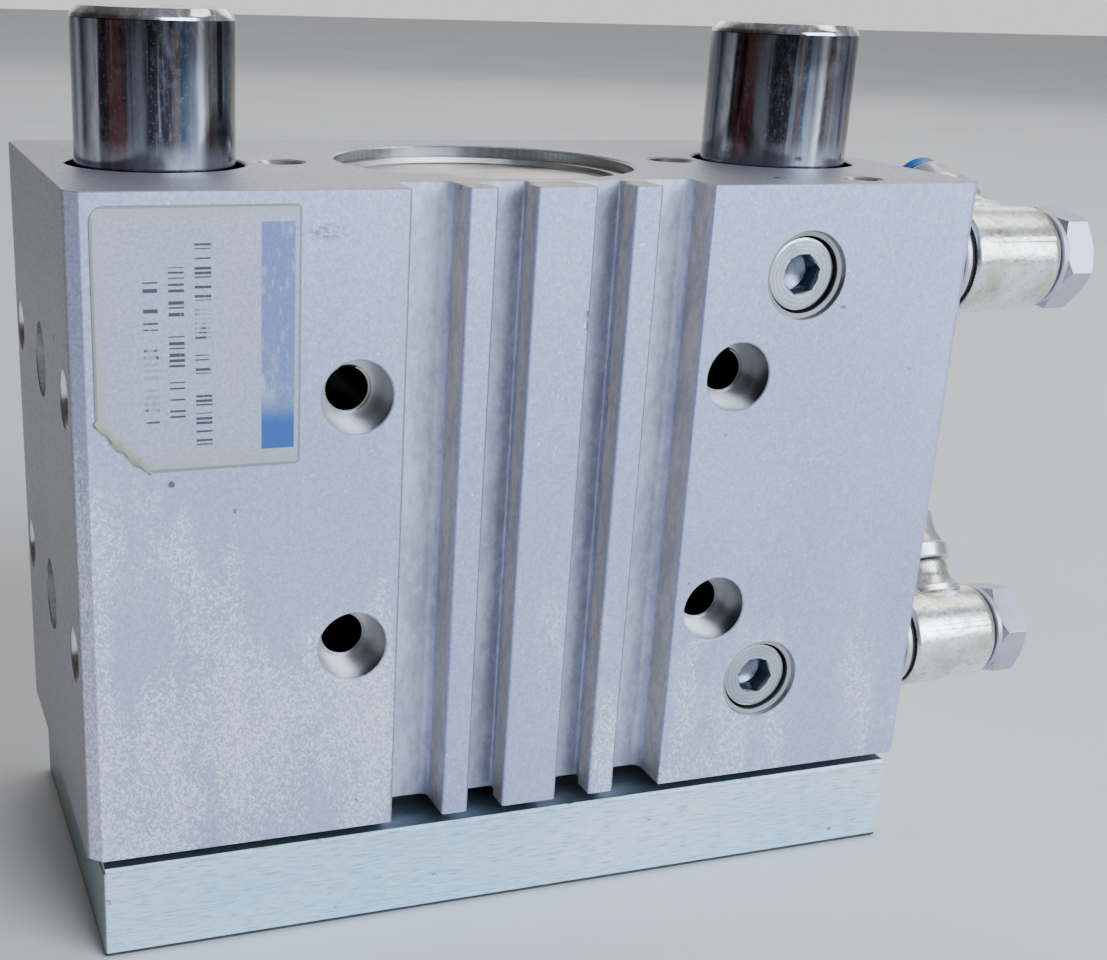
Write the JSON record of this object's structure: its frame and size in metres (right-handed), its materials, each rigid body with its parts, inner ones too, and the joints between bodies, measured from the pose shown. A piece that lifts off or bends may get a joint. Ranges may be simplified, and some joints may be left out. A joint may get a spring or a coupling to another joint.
{
  "type": "guided pneumatic drive",
  "caption": "Compact double-acting pneumatic drive: slotted aluminium housing, twin chromed guide rods, piston and yoke plate, with elbow flow-control valves on the side ports.",
  "frame": {"origin": "centre of the yoke plate's outer face, which the drive stands on", "axes": "+Z along the stroke axis, from the yoke plate to the free ends of the guide rods; +X along the width, towards the side with the valves; +Y from the slotted front face to the plain back face"},
  "size_m": [0.175, 0.0692, 0.1433],
  "materials": {
    "anodised_aluminium": "bead-blasted and clear anodised",
    "ground_steel": "ground along its length",
    "hard_chrome": "hard chrome plated and polished",
    "bright_steel": "turned and zinc plated",
    "spring_steel": "phosphated",
    "dark_screw_steel": "black oxide",
    "bearing_bronze": "sintered",
    "black_rubber": "moulded",
    "cushion_rubber": "moulded",
    "guide_ring_plastic": "moulded",
    "magnet": "plastic-bonded ferrite",
    "cast_zinc": "die-cast and nickel plated",
    "plated_brass": "nickel plated",
    "blue_plastic": "moulded",
    "label_film": "worn printed film without lettering"
  },
  "bodies": {
    "housing": {"housing": "anodised_aluminium", "rear_cap": "anodised_aluminium", "bearing_cap": "anodised_aluminium", "rear_cap_o_ring": "black_rubber", "bearing_cap_o_ring": "black_rubber", "rear_snap_ring": "spring_steel", "front_retaining_ring": "spring_steel", "piston_rod_bush": "bearing_bronze", "piston_rod_seal": "black_rubber", "left_lower_guide_bush": "bearing_bronze", "left_upper_guide_bush": "bearing_bronze", "right_lower_guide_bush": "bearing_bronze", "right_upper_guide_bush": "bearing_bronze", "left_scraper_ring": "black_rubber", "right_scraper_ring": "black_rubber", "upper_blanking_plug": "bright_steel", "lower_blanking_plug": "bright_steel", "label": "label_film", "upper_washer": "plated_brass", "upper_valve_seal": "black_rubber", "upper_hollow_screw": "bright_steel", "lower_washer": "plated_brass", "lower_valve_seal": "black_rubber", "lower_hollow_screw": "bright_steel"},
    "carriage": {"yoke_plate": "ground_steel", "left_guide_rod": "hard_chrome", "right_guide_rod": "hard_chrome", "left_guide_rod_screw": "dark_screw_steel", "right_guide_rod_screw": "dark_screw_steel", "piston_rod": "hard_chrome", "piston_front_half": "anodised_aluminium", "piston_rear_half": "anodised_aluminium", "piston_guide_ring": "guide_ring_plastic", "piston_magnet": "magnet", "piston_seal": "black_rubber", "front_cushion_ring": "cushion_rubber", "rear_cushion_ring": "cushion_rubber", "piston_screw": "bright_steel"},
    "upper_swivel": {"upper_swivel_body": "cast_zinc", "upper_connector": "plated_brass"},
    "upper_release": {"upper_release_ring": "blue_plastic"},
    "upper_regulator": {"upper_regulating_screw": "bright_steel"},
    "lower_swivel": {"lower_swivel_body": "cast_zinc", "lower_connector": "plated_brass"},
    "lower_release": {"lower_release_ring": "blue_plastic"},
    "lower_regulator": {"lower_regulating_screw": "bright_steel"}
  },
  "joints": [
    {"name": "carriage_slide", "type": "slide", "parent": "housing", "child": "carriage", "axis": [0, 0, -1], "range_m": [0, 0.05]},
    {"name": "upper_swivel_turn", "type": "hinge", "parent": "housing", "child": "upper_swivel", "pos_m": [0.0847, -0.024, 0.106], "axis": [1, 0, 0], "continuous": true},
    {"name": "upper_release_push", "type": "slide", "parent": "upper_swivel", "child": "upper_release", "axis": [0, -0.9063, -0.4226], "range_m": [0, 0.001], "stiffness_N_per_m": 800},
    {"name": "upper_regulator_turn", "type": "hinge", "parent": "housing", "child": "upper_regulator", "pos_m": [0.1, -0.024, 0.106], "axis": [1, 0, 0], "range_deg": [0, 1440]},
    {"name": "lower_swivel_turn", "type": "hinge", "parent": "housing", "child": "lower_swivel", "pos_m": [0.0847, -0.024, 0.0359], "axis": [1, 0, 0], "continuous": true},
    {"name": "lower_release_push", "type": "slide", "parent": "lower_swivel", "child": "lower_release", "axis": [0, -0.5446, -0.8387], "range_m": [0, 0.001], "stiffness_N_per_m": 800},
    {"name": "lower_regulator_turn", "type": "hinge", "parent": "housing", "child": "lower_regulator", "pos_m": [0.1, -0.024, 0.0359], "axis": [1, 0, 0], "range_deg": [0, 1440]}
  ]
}
